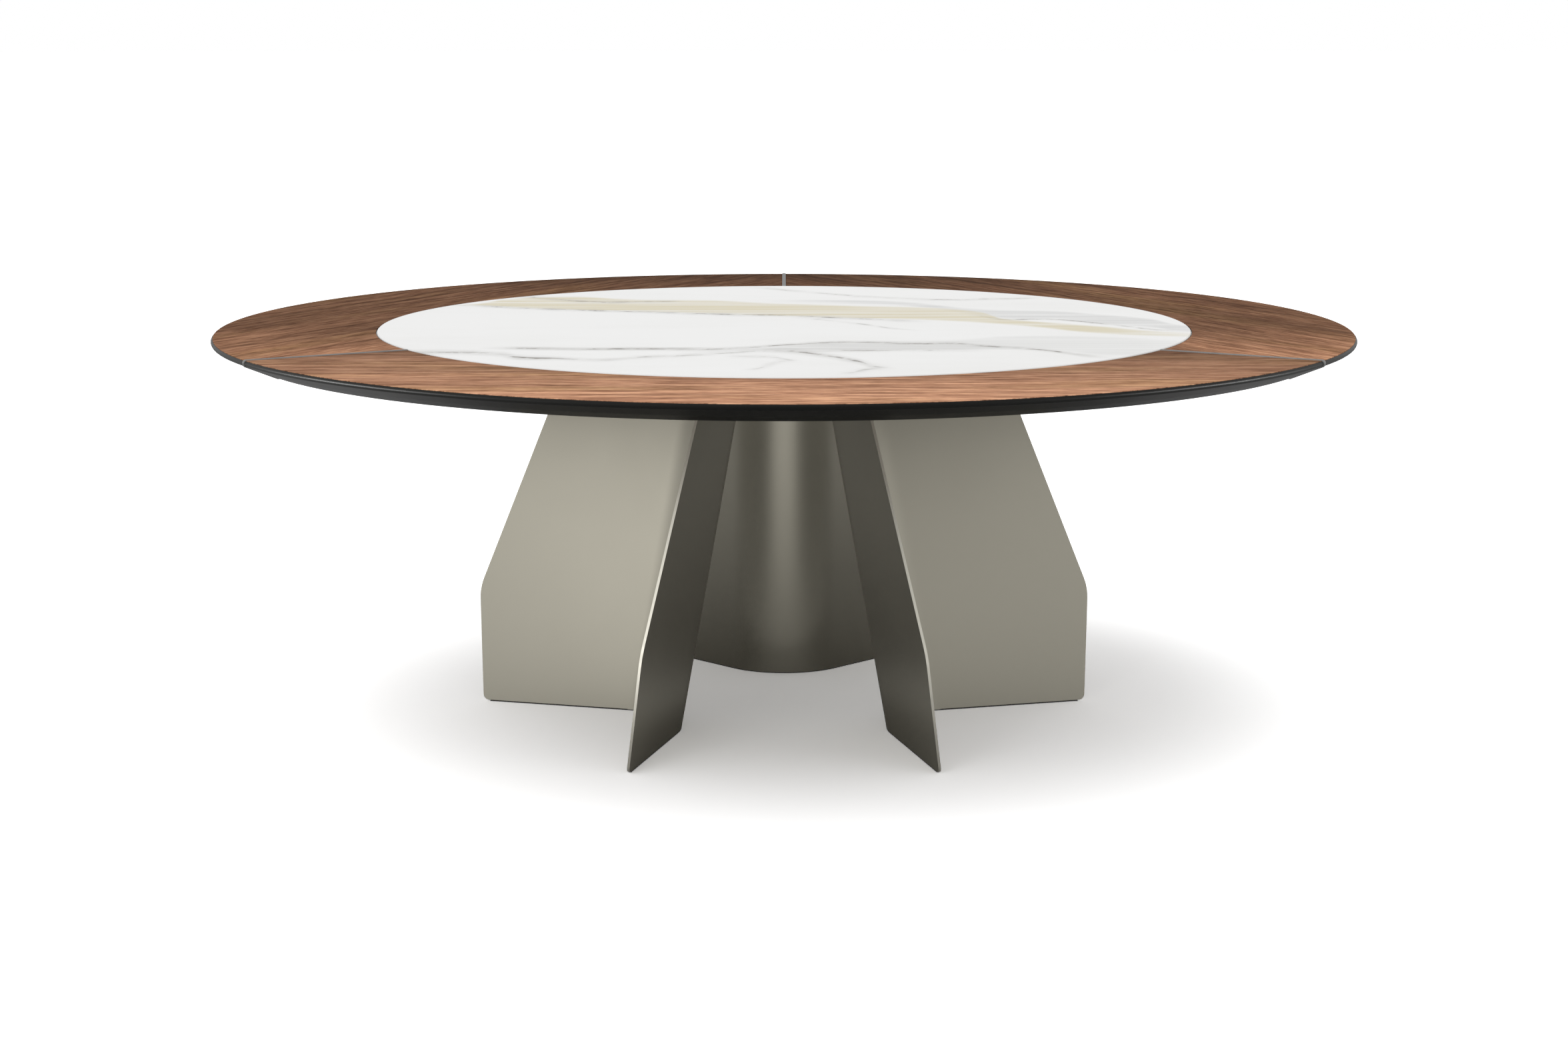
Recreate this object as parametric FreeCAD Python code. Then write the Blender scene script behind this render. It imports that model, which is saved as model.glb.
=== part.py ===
import FreeCAD, Part
import math
import os

# A round dining table: a stone-look disc in a walnut ring with a black rim, on three bent sheets.
# Millimetres, +Z up. The origin is on the floor under the middle of the top, and -Y is the front.

# Overall size
table_height = 760.0
table_diameter = 2200.0
top_thickness = 38.0

# Layers of the top
ceramic_thickness = 6.0
glass_thickness = 8.0
pad_thickness = 2.0
veneer_thickness = 1.0
inlay_proud = 1.5

# Ceramic disc, its glass backing, the pads under it and the soft joint round it
disc_chamfer = 1.5
glass_setback = 2.0
disc_joint = 2.0
seal_recess = 1.0
pad_diameter = 30.0
pad_ring_shares = (0.32, 0.62, 0.92)
pad_ring_counts = (6, 12, 18)

# Walnut ring on its boards: a ledge over the core panel, a rounded nose and a long bevel underneath
ring_width = 306.0
ledge_width = 110.0
nose_height = 10.0
nose_bulge = 3.5
bevel_run = 61.0

# Metal strips between the ring boards, and the dowels that pass through them
strip_width = 8.0
dowel_diameter = 10.0
dowel_depth = 25.0
dowel_place_shares = (0.15, 0.65)

# Base sheets: a V in plan with a rounded fold, leaning inward towards the top
sheet_thickness = 5.0
half_angle = 45.0
lean_angle = 11.67
fold_radius = 150.0
vertex_reach = 190.0
reach_foot = 454.0
reach_knee = 502.0
reach_top = 390.0
knee_height = 224.0
knee_radius = 100.0
foot_radius = 12.0

# Glide strip under each sheet
glide_thickness = 1.5
glide_inset = 14.0

# Flange welded inside the top of each sheet
flange_thickness = 8.0
flange_reach = 300.0
weld_gap = 0.2
flange_bolt_depth_shares = (0.27, 0.8)
flange_bolt_width_shares = (0.25, 0.62)

# Hexagonal hub plate and the six bars that reach out under the top
plate_thickness = 8.0
hub_margin = 20.0
bar_width = 80.0
bar_end_share = 0.55
bar_row_inset = 70.0
bar_ring_row_share = 0.38
bar_screw_offset_share = 0.31

# Bolts that hold the flanges to the hub plate
bolt_diameter = 10.0
bolt_head_width = 16.0
bolt_head_height = 6.4
washer_diameter = 20.0
washer_thickness = 2.0

# Screws and threaded inserts that hold the core panel to the hub plate
hub_screw_diameter = 8.0
hub_screw_head_diameter = 14.0
hub_screw_head_height = 4.4
insert_wall = 2.0
insert_length_share = 0.73
hub_row_radius_shares = (0.45, 0.75)
hub_row_offset_share = 0.5

# Wood screws: from the bars into the top, and from the core panel into the ring boards
wood_screw_diameter = 5.0
wood_screw_head_diameter = 10.0
wood_screw_head_height = 3.5
wood_screw_tip = 4.0
bar_screw_bite_share = 0.64
ring_screw_bite_share = 0.74
ring_screw_sink_share = 0.36
ring_screw_angles = (-45.0, -30.0, -15.0, 15.0, 30.0, 45.0)

# Recesses for the driver in the screw heads
socket_width = 5.0
socket_depth = 2.5
slot_width = 1.2
slot_depth = 1.8
slot_length_share = 0.7

# Clearances
fit_gap = 0.3
cut_overrun = 20.0

# Directions of the walnut segments and of the joints between them; the sheets open at the joints
segment_angles = {"front": 270.0, "rear_left": 150.0, "rear_right": 30.0}
joint_angles = {"rear": 90.0, "front_left": 210.0, "front_right": 330.0}

# Sizes that follow from the ones above
segment_span = 360 / len(segment_angles)
rim_radius = table_diameter / 2
wood_edge_radius = rim_radius - nose_bulge
bevel_end_radius = wood_edge_radius - bevel_run
ring_inner_radius = wood_edge_radius - ring_width
disc_radius = ring_inner_radius - disc_joint
core_radius = ring_inner_radius + ledge_width
board_core_radius = core_radius + fit_gap
board_flat_width = bevel_end_radius - board_core_radius

underside_z = table_height - top_thickness
wood_z = table_height - inlay_proud
board_top_z = wood_z - veneer_thickness
nose_bottom_z = board_top_z - nose_height
ceramic_bottom_z = table_height - ceramic_thickness
glass_bottom_z = ceramic_bottom_z - glass_thickness
core_top_z = glass_bottom_z - pad_thickness
core_thickness = core_top_z - underside_z
plate_bottom_z = underside_z - plate_thickness
flange_bottom_z = plate_bottom_z - flange_thickness

bar_end_radius = board_core_radius + bar_end_share * board_flat_width
bar_screw_offset = bar_screw_offset_share * bar_width
bar_screw_bite = bar_screw_bite_share * core_thickness
ring_screw_radius = (ring_inner_radius + core_radius) / 2
ring_screw_bite = ring_screw_bite_share * (board_top_z - core_top_z)
ring_screw_sink = ring_screw_sink_share * core_thickness
dowel_radii = [board_core_radius + share * board_flat_width for share in dowel_place_shares]
dowel_z = (underside_z + board_top_z) / 2
insert_length = insert_length_share * core_thickness
insert_radius = hub_screw_diameter / 2 + fit_gap + insert_wall

lean_slope = math.tan(math.radians(lean_angle))
tangent_reach = fold_radius / math.tan(math.radians(half_angle))

V = FreeCAD.Vector
UP = V(0, 0, 1)
CENTRE = V(0, 0, 0)


def polar(radius, angle, z=0):
    return V(radius * math.cos(math.radians(angle)), radius * math.sin(math.radians(angle)), z)


def line(start, end):
    return Part.LineSegment(start, end).toShape()


def arc(start, middle, end):
    return Part.Arc(start, middle, end).toShape()


def face_of(edges):
    return Part.Face(Part.Wire(edges))


def polygon_face(points):
    return Part.Face(Part.makePolygon(points + [points[0]]))


def turned(shape, angle):
    copy = shape.copy()
    copy.rotate(CENTRE, UP, angle)
    return copy


def moved(shape, place):
    copy = shape.copy()
    copy.translate(place)
    return copy


def rod(radius, bottom, height):
    return Part.makeCylinder(radius, height, bottom, UP)


def at_height(place, z):
    return V(place.x, place.y, z)


def revolved(half_outline):
    # A full turn of an outline given as (radius, height) points
    outline = polygon_face([V(radius, 0, z) for radius, z in half_outline])
    return outline.revolve(CENTRE, UP, 360)


def ring_section(surface_z, proud):
    # Half section of the ring: ledge, nose and bevel, grown outward by proud past the rim
    drop = nose_bottom_z - underside_z
    slope_length = math.hypot(bevel_run, drop)
    nose_top = V(wood_edge_radius, 0, surface_z)
    nose_tip = V(rim_radius + proud, 0, nose_bottom_z + nose_height / 2)
    nose_end = V(wood_edge_radius, 0, nose_bottom_z) + V(drop, 0, -bevel_run) * (proud / slope_length)
    bevel_end = V(bevel_end_radius + proud * slope_length / drop, 0, underside_z)
    corners = [
        bevel_end,
        V(board_core_radius, 0, underside_z),
        V(board_core_radius, 0, core_top_z),
        V(ring_inner_radius, 0, core_top_z),
        V(ring_inner_radius, 0, surface_z),
        nose_top,
    ]
    edges = [line(start, end) for start, end in zip(corners, corners[1:])]
    return face_of(edges + [arc(nose_top, nose_tip, nose_end), line(nose_end, bevel_end)])


def strip_slot():
    # The room that a divider strip takes out of the ring, along +X
    corner = V(0, -strip_width / 2, 0)
    return Part.makeBox(rim_radius + cut_overrun, strip_width, table_height + cut_overrun, corner)


def ring_segment(section, centre_angle):
    start = centre_angle - segment_span / 2
    segment = turned(section, start).revolve(CENTRE, UP, segment_span)
    slots = [turned(strip_slot(), start), turned(strip_slot(), start + segment_span)]
    return segment.cut(slots)


def dowel_rods(radius, half_length):
    # Dowels across the joint that runs along +X
    rods = []
    for place in dowel_radii:
        foot = V(place, -half_length, dowel_z)
        rods.append(Part.makeCylinder(radius, 2 * half_length, foot, V(0, 1, 0)))
    return rods


def bar_screw_places():
    ring_row_radius = board_core_radius + bar_ring_row_share * board_flat_width
    row_radii = (hub_apothem() + bar_row_inset, core_radius - bar_row_inset, ring_row_radius)
    return [
        polar(radius, angle) + polar(side * bar_screw_offset, angle + 90)
        for angle in [*segment_angles.values(), *joint_angles.values()]
        for radius in row_radii
        for side in (-1, 1)
    ]


def ring_screw_places():
    return [
        polar(ring_screw_radius, centre + offset)
        for centre in segment_angles.values()
        for offset in ring_screw_angles
    ]


def blade_gap(radius):
    # Half the room between two neighbouring sheets under the hub plate, at a radius from the middle
    corner = polar(vertex_u(plate_bottom_z), segment_span / 2)
    spread = math.radians(segment_span / 2 - half_angle)
    return corner.y + (radius - corner.x) * math.tan(spread)


def hub_screw_places():
    rows = [share * hub_apothem() for share in hub_row_radius_shares]
    return [
        polar(radius, centre) + polar(side * hub_row_offset_share * blade_gap(radius), centre + 90)
        for centre in segment_angles.values()
        for radius in rows
        for side in (-1, 1)
    ]


def holes(places, radius, bottom_z, top_z):
    return [rod(radius, at_height(place, bottom_z), top_z - bottom_z) for place in places]


def ring_board(centre_angle):
    board = ring_segment(ring_section(board_top_z, 0), centre_angle)
    dowel_holes = dowel_rods(dowel_diameter / 2 + fit_gap, strip_width / 2 + dowel_depth + fit_gap)
    cuts = [turned(hole, angle) for angle in joint_angles.values() for hole in dowel_holes]
    screw_hole = wood_screw_diameter / 2 + fit_gap
    bar_hole_top = underside_z + bar_screw_bite + fit_gap
    ring_hole_top = core_top_z + ring_screw_bite + fit_gap
    cuts += holes(bar_screw_places(), screw_hole, underside_z - cut_overrun, bar_hole_top)
    cuts += holes(ring_screw_places(), screw_hole, core_top_z - cut_overrun, ring_hole_top)
    return board.cut(cuts)


def veneer(centre_angle):
    section = polygon_face([
        V(ring_inner_radius, 0, board_top_z),
        V(wood_edge_radius, 0, board_top_z),
        V(wood_edge_radius, 0, wood_z),
        V(ring_inner_radius, 0, wood_z),
    ])
    return ring_segment(section, centre_angle)


def divider_strip(angle):
    section = moved(ring_section(table_height, inlay_proud), V(0, -strip_width / 2, 0))
    strip = section.extrude(V(0, strip_width, 0))
    dowel_holes = dowel_rods(dowel_diameter / 2 + fit_gap, strip_width)
    return turned(strip.cut(dowel_holes), angle)


def ceramic_disc():
    return revolved([
        (0, ceramic_bottom_z),
        (disc_radius, ceramic_bottom_z),
        (disc_radius, table_height - disc_chamfer),
        (disc_radius - disc_chamfer, table_height),
        (0, table_height),
    ])


def glass_backing():
    return rod(disc_radius - glass_setback, V(0, 0, glass_bottom_z), glass_thickness)


def disc_edge_seal():
    inside = disc_radius + fit_gap
    outside = ring_inner_radius - fit_gap
    seal_top_z = board_top_z - seal_recess
    corners = [(inside, core_top_z), (outside, core_top_z), (outside, seal_top_z), (inside, seal_top_z)]
    return revolved(corners)


def cushion_pads():
    places = [CENTRE]
    for share, count in zip(pad_ring_shares, pad_ring_counts):
        places += [polar(share * disc_radius, 360 * step / count) for step in range(count)]
    return [rod(pad_diameter / 2, at_height(place, core_top_z), pad_thickness) for place in places]


def core_panel():
    panel = rod(core_radius, V(0, 0, underside_z), core_thickness)
    below = underside_z - cut_overrun
    screw_hole = wood_screw_diameter / 2 + fit_gap
    head_hole = wood_screw_head_diameter / 2 + fit_gap
    cuts = holes(bar_screw_places(), screw_hole, below, underside_z + bar_screw_bite + fit_gap)
    cuts += holes(ring_screw_places(), screw_hole, below, table_height)
    cuts += holes(ring_screw_places(), head_hole, below, underside_z + ring_screw_sink)
    cuts += holes(hub_screw_places(), insert_radius + fit_gap, below, underside_z + insert_length + fit_gap)
    return panel.cut(cuts)


def vertex_u(z):
    # Distance from the middle to the sharp corner of the V's outside face, at height z
    return vertex_reach - z * lean_slope


def arm_direction(side):
    return polar(1, side * half_angle)


def arm_inward(side):
    return polar(1, side * (half_angle - 90))


def on_arm(side, reach, z, depth=0):
    # A point of one arm: reach along it from the sharp corner, depth into the sheet
    return V(vertex_u(z), 0, z) + arm_direction(side) * reach + arm_inward(side) * depth


def fold_apex(z, depth):
    centre_u = vertex_u(z) + fold_radius / math.sin(math.radians(half_angle))
    return V(centre_u - fold_radius + depth, 0, z)


def fold_edges(reach, z, depth):
    # One arm's straight, the rounded fold and the other arm's straight
    ends = [on_arm(side, reach, z, depth) for side in (1, -1)]
    tangents = [on_arm(side, tangent_reach, z, depth) for side in (1, -1)]
    fold = arc(tangents[0], fold_apex(z, depth), tangents[1])
    return ends, [line(ends[0], tangents[0]), fold, line(tangents[1], ends[1])]


def leaned(face, height):
    return face.extrude(V(-lean_slope, 0, 1) * height)


def rounded_path(points, radii):
    # A run of straight edges through the points, with an arc of the given radius at each inner one
    edges = []
    start = points[0]
    for before, corner, after, radius in zip(points, points[1:], points[2:], radii):
        back = (before - corner).normalize()
        ahead = (after - corner).normalize()
        half_turn = back.getAngle(ahead) / 2
        setback = radius / math.tan(half_turn)
        bisector = (back + ahead).normalize()
        middle = corner + bisector * (radius / math.sin(half_turn) - radius)
        edges += [line(start, corner + back * setback)]
        edges += [arc(corner + back * setback, middle, corner + ahead * setback)]
        start = corner + ahead * setback
    return edges + [line(start, points[-1])]


def arm_waste(side):
    # What is trimmed off the end of one arm: past the foot corner, the knee and the slanting edge
    lean = V(-lean_slope, 0, 1)
    start = on_arm(side, tangent_reach, glide_thickness)
    foot = on_arm(side, reach_foot, glide_thickness)
    knee = on_arm(side, reach_knee, knee_height)
    crown = on_arm(side, reach_top, plate_bottom_z)
    past_crown = crown + (crown - knee).normalize() * cut_overrun
    outward = arm_direction(side) * (reach_knee + cut_overrun)
    edges = rounded_path([start, foot, knee, past_crown], (foot_radius, knee_radius))
    below = lean * -cut_overrun
    around = [past_crown, past_crown + outward, foot + outward + below, start + below, start]
    edges += [line(begin, end) for begin, end in zip(around, around[1:])]
    normal = arm_direction(side).cross(lean).normalize()
    waste = moved(face_of(edges), normal * -cut_overrun)
    return waste.extrude(normal * (2 * cut_overrun))


def sheet_section(reach, z):
    # Level cut through a sheet at height z, with both arms as long as reach
    outside_ends, outside = fold_edges(reach, z, 0)
    inside_ends, inside = fold_edges(reach, z, sheet_thickness)
    caps = [line(begin, end) for begin, end in zip(outside_ends, inside_ends)]
    return face_of(Part.__sortEdges__(outside + inside + caps))


def blade(angle):
    longest = max(reach_foot, reach_knee, reach_top) + cut_overrun
    section = sheet_section(longest, glide_thickness)
    sheet = leaned(section, plate_bottom_z - glide_thickness)
    return turned(sheet.cut([arm_waste(1), arm_waste(-1)]), angle)


def flange_depth():
    return sheet_thickness + weld_gap


def flange_bolt_places():
    # Bolt places in the plan of a sheet that opens along +X
    apex = fold_apex(plate_bottom_z, flange_depth())
    corner = on_arm(1, flange_reach, plate_bottom_z, flange_depth())
    return [
        V(apex.x + depth_share * (corner.x - apex.x), side * width_share * corner.y, 0)
        for depth_share, width_share in zip(flange_bolt_depth_shares, flange_bolt_width_shares)
        for side in (-1, 1)
    ]


def all_bolt_places():
    places = []
    for angle in joint_angles.values():
        turn = FreeCAD.Rotation(UP, angle)
        places += [turn.multVec(place) for place in flange_bolt_places()]
    return places


def blade_flange(angle):
    ends, edges = fold_edges(flange_reach, flange_bottom_z, flange_depth())
    plate = leaned(face_of(edges + [line(ends[1], ends[0])]), flange_thickness)
    below = flange_bottom_z - cut_overrun
    bolt_holes = holes(flange_bolt_places(), bolt_diameter / 2 + fit_gap, below, table_height)
    return turned(plate.cut(bolt_holes), angle)


def glide_strips():
    # A thin strip along the foot of each sheet, short of its rounded corners
    strip = leaned(sheet_section(reach_foot - glide_inset, 0), glide_thickness)
    return [turned(strip, angle) for angle in joint_angles.values()]


def hub_apothem():
    # The hub plate covers the top ends of all the arms
    return on_arm(1, reach_top, plate_bottom_z).distanceToPoint(V(0, 0, plate_bottom_z)) + hub_margin


def hub_plate():
    corner_radius = hub_apothem() / math.cos(math.radians(30))
    outline = polygon_face([polar(corner_radius, 60 * step, plate_bottom_z) for step in range(6)])
    plate = outline.extrude(UP * plate_thickness)
    below = plate_bottom_z - cut_overrun
    cuts = holes(all_bolt_places(), bolt_diameter / 2 + fit_gap, below, table_height)
    cuts += holes(hub_screw_places(), hub_screw_diameter / 2 + fit_gap, below, table_height)
    return plate.cut(cuts)


def support_bar(angle):
    corner = V(hub_apothem(), -bar_width / 2, plate_bottom_z)
    bar = turned(Part.makeBox(bar_end_radius - corner.x, bar_width, plate_thickness, corner), angle)
    screw_hole = wood_screw_diameter / 2 + fit_gap
    return bar.cut(holes(bar_screw_places(), screw_hole, plate_bottom_z - cut_overrun, table_height))


def hex_prism(width, bottom_z, height):
    corner_radius = width / 2 / math.cos(math.radians(30))
    outline = polygon_face([polar(corner_radius, 60 * step, bottom_z) for step in range(6)])
    return outline.extrude(UP * height)


def flange_bolt():
    # Hexagon bolt from below, its head's top face at height zero
    length = washer_thickness + flange_thickness + plate_thickness - fit_gap
    shank = rod(bolt_diameter / 2, CENTRE, length)
    return hex_prism(bolt_head_width, -bolt_head_height, bolt_head_height).fuse(shank).removeSplitter()


def flange_washer():
    ring = rod(washer_diameter / 2, CENTRE, washer_thickness)
    return ring.cut(rod(bolt_diameter / 2 + fit_gap, CENTRE, washer_thickness))


def hub_screw():
    # Button-head screw with a hexagon socket, its head's top face at height zero
    length = plate_thickness + insert_length
    head = rod(hub_screw_head_diameter / 2, V(0, 0, -hub_screw_head_height), hub_screw_head_height)
    screw = head.fuse(rod(hub_screw_diameter / 2, CENTRE, length)).removeSplitter()
    return screw.cut(hex_prism(socket_width, -hub_screw_head_height, socket_depth))


def threaded_insert():
    body = rod(insert_radius, CENTRE, insert_length)
    return body.cut(rod(hub_screw_diameter / 2 + fit_gap, CENTRE, insert_length))


def wood_screw(length):
    # Pan-head screw with a cross slot and a pointed tip, its head's top face at height zero
    head_radius = wood_screw_head_diameter / 2
    radius = wood_screw_diameter / 2
    straight = length - wood_screw_tip
    screw = revolved([
        (0, -wood_screw_head_height),
        (head_radius, -wood_screw_head_height),
        (head_radius, 0),
        (radius, 0),
        (radius, straight),
        (0, length),
    ])
    slot_length = slot_length_share * wood_screw_head_diameter
    corner = V(-slot_length / 2, -slot_width / 2, -wood_screw_head_height)
    slot = Part.makeBox(slot_length, slot_width, slot_depth, corner)
    return screw.cut([slot, turned(slot, 90)])


def copies(shape, places, z):
    return [moved(shape, at_height(place, z)) for place in places]


def alignment_dowels():
    rods = dowel_rods(dowel_diameter / 2, strip_width / 2 + dowel_depth)
    return [turned(dowel, angle) for angle in joint_angles.values() for dowel in rods]


def hardware():
    bar_screw = wood_screw(plate_thickness + bar_screw_bite)
    ring_screw = wood_screw(core_thickness - ring_screw_sink + ring_screw_bite)
    return {
        "blade_bolts": copies(flange_bolt(), all_bolt_places(), flange_bottom_z - washer_thickness),
        "blade_washers": copies(flange_washer(), all_bolt_places(), flange_bottom_z - washer_thickness),
        "hub_screws": copies(hub_screw(), hub_screw_places(), plate_bottom_z),
        "threaded_inserts": copies(threaded_insert(), hub_screw_places(), underside_z),
        "bar_screws": copies(bar_screw, bar_screw_places(), plate_bottom_z),
        "ring_screws": copies(ring_screw, ring_screw_places(), underside_z + ring_screw_sink),
        "alignment_dowels": alignment_dowels(),
        "cushion_pads": cushion_pads(),
        "floor_glides": glide_strips(),
    }


def all_nodes():
    nodes = {
        "ceramic_disc": ceramic_disc(),
        "glass_backing": glass_backing(),
        "disc_edge_seal": disc_edge_seal(),
        "core_panel": core_panel(),
        "hub_plate": hub_plate(),
    }
    for name, angle in segment_angles.items():
        nodes["ring_board_" + name] = ring_board(angle)
        nodes["veneer_" + name] = veneer(angle)
        nodes["support_bar_" + name] = support_bar(angle)
    for name, angle in joint_angles.items():
        nodes["divider_strip_" + name] = divider_strip(angle)
        nodes["blade_" + name] = blade(angle)
        nodes["blade_flange_" + name] = blade_flange(angle)
        nodes["support_bar_joint_" + name] = support_bar(angle)
    nodes.update({name: Part.makeCompound(shapes) for name, shapes in hardware().items()})
    return nodes


os.makedirs("parts", exist_ok=True)
for name, shape in all_nodes().items():
    shape.exportStep("parts/" + name + ".step")
    print(name, len(shape.Solids), "solids,", round(shape.Volume), "cubic mm, valid:", shape.isValid())
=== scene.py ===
# %% [markdown]
# # A round dining table, dressed over its construction model
# The solids of the table are already built in real sizes: a stone-look disc in a walnut ring, a black
# rim, metal strips and three bent, leaning sheets. This lesson gives each of them its finish and adds
# what a construction model leaves out. The solids are loaded as a frame that nothing here may move,
# and their box is kept, to set the floor and the cards on it.

# %% Load the solids
import math

import bmesh
import bpy
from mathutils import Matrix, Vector


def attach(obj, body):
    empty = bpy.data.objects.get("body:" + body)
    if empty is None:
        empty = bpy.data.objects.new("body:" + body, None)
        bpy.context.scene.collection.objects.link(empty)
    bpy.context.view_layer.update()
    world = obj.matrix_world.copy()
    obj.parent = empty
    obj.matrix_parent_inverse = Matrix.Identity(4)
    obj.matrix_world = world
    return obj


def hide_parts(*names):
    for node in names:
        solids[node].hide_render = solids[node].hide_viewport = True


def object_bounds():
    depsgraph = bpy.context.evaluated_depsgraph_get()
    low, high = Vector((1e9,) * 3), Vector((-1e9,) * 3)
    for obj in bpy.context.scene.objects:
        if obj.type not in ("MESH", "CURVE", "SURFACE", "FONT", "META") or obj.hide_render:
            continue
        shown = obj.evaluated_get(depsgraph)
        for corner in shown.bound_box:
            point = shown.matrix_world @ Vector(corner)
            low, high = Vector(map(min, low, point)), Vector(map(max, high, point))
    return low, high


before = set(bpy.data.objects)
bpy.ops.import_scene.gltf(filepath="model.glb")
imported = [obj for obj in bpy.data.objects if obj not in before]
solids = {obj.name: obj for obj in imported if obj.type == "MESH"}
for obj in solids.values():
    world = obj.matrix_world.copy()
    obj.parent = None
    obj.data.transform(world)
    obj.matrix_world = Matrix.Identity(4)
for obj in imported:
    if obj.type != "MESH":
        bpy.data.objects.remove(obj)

cad_low, cad_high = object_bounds()
print("solids:", len(solids), "box:", [round(v, 4) for v in cad_high - cad_low])

# %% [markdown]
# ## The camera
# The portrait was taken from a little above the table, with a long lens. The lens, the tilt and the
# place were worked out from the rim, the disc and the feet, whose sizes are known. A long lens far away
# keeps the circles of the top as clean ellipses, which a wide lens close by would stretch.

# %% Place the camera
sensor_width = 36.0
focal_length = 63.937
camera_place = (0.0, -5.4281, 1.3665)
camera_dip = 10.43


def place_object(name, data):
    item = bpy.data.objects.new(name, data)
    bpy.context.scene.collection.objects.link(item)
    return item


lens_data = bpy.data.cameras.new("portrait_lens")
lens_data.sensor_fit = "HORIZONTAL"
lens_data.sensor_width = sensor_width
lens_data.lens = focal_length
camera = place_object("portrait_camera", lens_data)
camera.location = camera_place
camera.rotation_euler = (math.radians(90.0 - camera_dip), 0.0, 0.0)
bpy.context.scene.camera = camera
bpy.context.scene.view_settings.view_transform = "Standard"
print("camera:", tuple(camera.location), "lens:", lens_data.lens)

# %% [markdown]
# ## Small helpers for node trees
# Every light and finish below is a tree of nodes. Adding a node and joining it takes several lines each
# time, so a helper keeps it short: a value in the list of inputs sets the socket, and another node's
# output joins it. The others do what is needed most: sums, the axes of a vector, a change of range and a
# blend of two colours.

# %% Helpers for nodes
def add(tree, kind, inputs=None, **settings):
    node = tree.nodes.new(kind)
    for name, value in settings.items():
        setattr(node, name, value)
    for name, value in (inputs or {}).items():
        if isinstance(value, bpy.types.NodeSocket):
            tree.links.new(value, node.inputs[name])
        else:
            node.inputs[name].default_value = value
    return node


def calc(tree, operation, first, second=0.0, clamp=False):
    inputs = {0: first, 1: second}
    return add(tree, "ShaderNodeMath", inputs, operation=operation, use_clamp=clamp).outputs[0]


def times(tree, product, *factors):
    for factor in factors:
        product = calc(tree, "MULTIPLY", product, factor)
    return product


def minus(tree, first, second):
    return calc(tree, "SUBTRACT", first, second)


def split(tree, vector):
    return add(tree, "ShaderNodeSeparateXYZ", {0: vector}).outputs


def ramp_value(tree, value, low, high, to_low=0.0, to_high=1.0, smooth=False):
    kind = "SMOOTHSTEP" if smooth else "LINEAR"
    inputs = {"Value": value, "From Min": low, "From Max": high, "To Min": to_low, "To Max": to_high}
    return add(tree, "ShaderNodeMapRange", inputs, interpolation_type=kind).outputs[0]


def blend(tree, factor, first, second, kind="MIX"):
    inputs = {0: factor, 6: first, 7: second}
    return add(tree, "ShaderNodeMix", inputs, data_type="RGBA", blend_type=kind).outputs[2]


print("node helpers ready")

# %% [markdown]
# ## White room and lamps
# The table stands in a white studio. A lamp overhead and a little to the left is as wide as a ceiling,
# so shadows have no hard edge, and the surroundings add an even light. The white of the background is
# meant for the eye and for reflections, so the world shows it to camera, glossy and transmission rays
# only, and what lights the table stays at a level where colours look as written. Two softboxes in front
# are what the inside faces of the base mirror. The left one is the stronger, so that face is brighter.

# %% Build the room and the lamps
white = (1.0, 1.0, 1.0, 1.0)
sky_level = 0.70
backdrop_level = 1.0
ceiling_share = 0.38
ceiling_angle = 68.0
ceiling_direction = Vector((-0.18, -0.16, 0.94)).normalized()
softbox_size = (2.0, 2.0)
softbox_target = Vector((0.0, 0.0, 0.4))
softboxes = {"left": (Vector((-2.5, -4.5, 1.65)), 28.0), "right": (Vector((4.4, -3.2, 1.8)), 8.0)}


def facing(direction):
    return direction.to_track_quat("Z", "Y").to_euler()


def area_lamp(name, place, target, size, energy):
    data = bpy.data.lights.new(name, "AREA")
    data.shape = "RECTANGLE"
    data.size, data.size_y = size
    data.energy = energy
    lamp = place_object(name, data)
    lamp.location = place
    lamp.rotation_euler = facing(place - target)
    lamp.visible_camera = False
    return lamp


world = bpy.data.worlds.new("white_studio")
bpy.context.scene.world = world
world.use_nodes = True
tree = world.node_tree
tree.nodes.clear()
ray = add(tree, "ShaderNodeLightPath").outputs
seen = calc(tree, "MAXIMUM", ray["Is Camera Ray"], ray["Is Glossy Ray"])
seen = calc(tree, "MAXIMUM", seen, ray["Is Transmission Ray"])
lighting = add(tree, "ShaderNodeBackground", {"Color": white, "Strength": sky_level})
backdrop = add(tree, "ShaderNodeBackground", {"Color": white, "Strength": backdrop_level})
mixed = add(tree, "ShaderNodeMixShader", {0: seen, 1: lighting.outputs[0], 2: backdrop.outputs[0]})
add(tree, "ShaderNodeOutputWorld", {"Surface": mixed.outputs[0]})

ceiling_data = bpy.data.lights.new("ceiling_light", "SUN")
ceiling_data.energy = ceiling_share * math.pi / ceiling_direction.z
ceiling_data.angle = math.radians(ceiling_angle)
place_object("ceiling_light", ceiling_data).rotation_euler = facing(ceiling_direction)
for side, (place, energy) in softboxes.items():
    area_lamp("softbox_" + side, place, softbox_target, softbox_size, energy)
print("ceiling light:", round(ceiling_data.energy, 3), "softboxes:", sorted(softboxes))

# %% [markdown]
# ## The floor
# The floor is pale and catches the shadow. A plain white disc would do for the eye, but the metal would
# mirror it too brightly, so its colour is chosen by the kind of ray: one for the eye, one for reflections
# and one for the light on the table. A faint glow for the eye lets it end in the white background.

# %% Lay the floor
floor_radius = 90.0
floor_sides = 96
floor_drop = 0.0002
floor_color = (0.95, 0.95, 0.95, 1.0)
floor_seen_color = (1.54, 1.54, 1.54, 1.0)
floor_mirrored_color = (0.50, 0.50, 0.50, 1.0)
floor_glow = 0.16


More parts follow.
